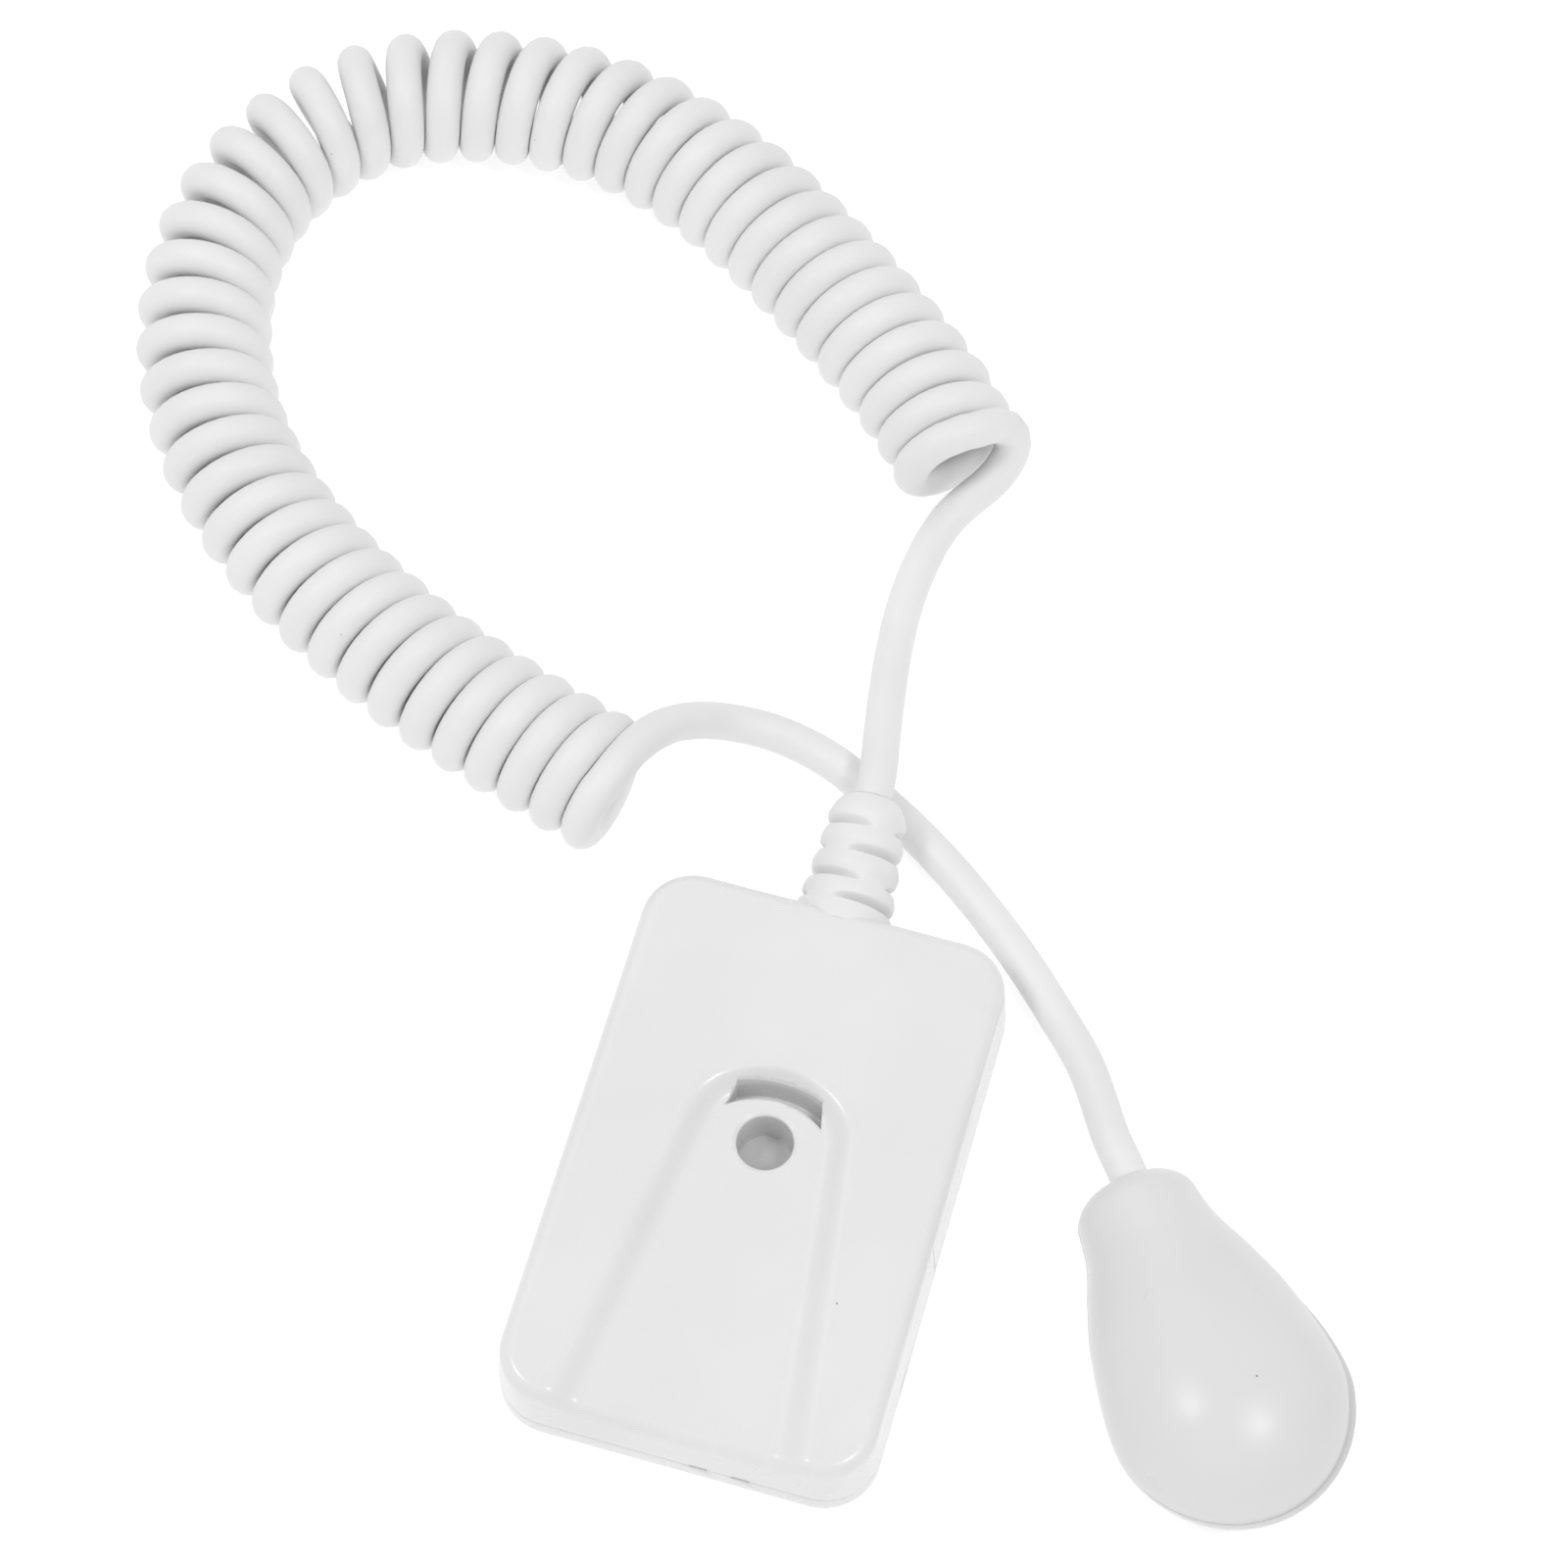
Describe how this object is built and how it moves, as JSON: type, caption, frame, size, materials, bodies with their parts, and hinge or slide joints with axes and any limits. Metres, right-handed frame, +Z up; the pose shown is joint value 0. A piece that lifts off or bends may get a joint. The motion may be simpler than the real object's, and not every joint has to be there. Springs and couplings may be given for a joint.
{
  "type": "pull cord switch",
  "caption": "Thin rounded call-switch box with a bracket recess in its rear face, joined by a curly cord to a pear-shaped push handset.",
  "frame": {"origin": "middle of the box's flat front face, which lies on the surface", "axes": "+Z up out of the box's rear face, +Y along the box towards the cord's strain relief, +X across the box towards the handset"},
  "size_m": [0.2068, 0.2018, 0.0223],
  "materials": {
    "housing_plastic": "satin moulded ABS, white",
    "handset_plastic": "satin moulded ABS, white",
    "cord_jacket": "soft white elastomer with a slight sheen",
    "relief_elastomer": "soft white elastomer, matt",
    "key_plastic": "fine matt grey",
    "button_plastic": "satin red",
    "dark_plastic": "matt black",
    "inner_plastic": "plain white",
    "board_laminate": "solder-masked laminate",
    "steel": "plated",
    "copper": "bare copper wire",
    "lamp_plastic": "clear amber",
    "wire_insulation": "thin insulation"
  },
  "bodies": {
    "housing": {"aerial": "copper", "board_screw_1": "steel", "board_screw_2": "steel", "board_screw_3": "steel", "board_screw_4": "steel", "box_core_1": "wire_insulation", "box_core_2": "wire_insulation", "box_core_3": "wire_insulation", "box_core_4": "wire_insulation", "button_spring": "steel", "call_lamp": "lamp_plastic", "call_switch": "dark_plastic", "cell_contact": "steel", "cell_holder": "dark_plastic", "circuit_board": "board_laminate", "coin_cell": "steel", "cord_clamp": "inner_plastic", "cord_header": "inner_plastic", "cord_lead_box": "cord_jacket", "cord_lead_pear": "cord_jacket", "cord_plug": "inner_plastic", "curly_coil": "cord_jacket", "front_cover": "housing_plastic", "lamp_lens": "lamp_plastic", "pear_core_1": "wire_insulation", "pear_core_2": "wire_insulation", "pear_core_3": "wire_insulation", "pear_core_4": "wire_insulation", "pear_front_shell": "handset_plastic", "pear_rear_shell": "handset_plastic", "pear_screw_1": "steel", "pear_screw_2": "steel", "power_chip": "dark_plastic", "processor_chip": "dark_plastic", "push_switch": "dark_plastic", "radio_module": "steel", "rear_cover": "housing_plastic", "strain_relief": "relief_elastomer", "switch_board": "board_laminate"},
    "call_key": {"call_key": "key_plastic", "call_switch_plunger": "inner_plastic"},
    "push_button": {"push_button": "button_plastic", "push_switch_plunger": "inner_plastic"}
  },
  "joints": [
    {"name": "call_key_press", "type": "slide", "parent": "housing", "child": "call_key", "axis": [0, 0, 1], "range_m": [0, 0.0005], "stiffness_N_per_m": 2000},
    {"name": "push_button_press", "type": "slide", "parent": "housing", "child": "push_button", "axis": [-0.1078, 0.0282, 0.9938], "range_m": [0, 0.0015], "stiffness_N_per_m": 1500, "deforming": ["button_spring"]}
  ]
}
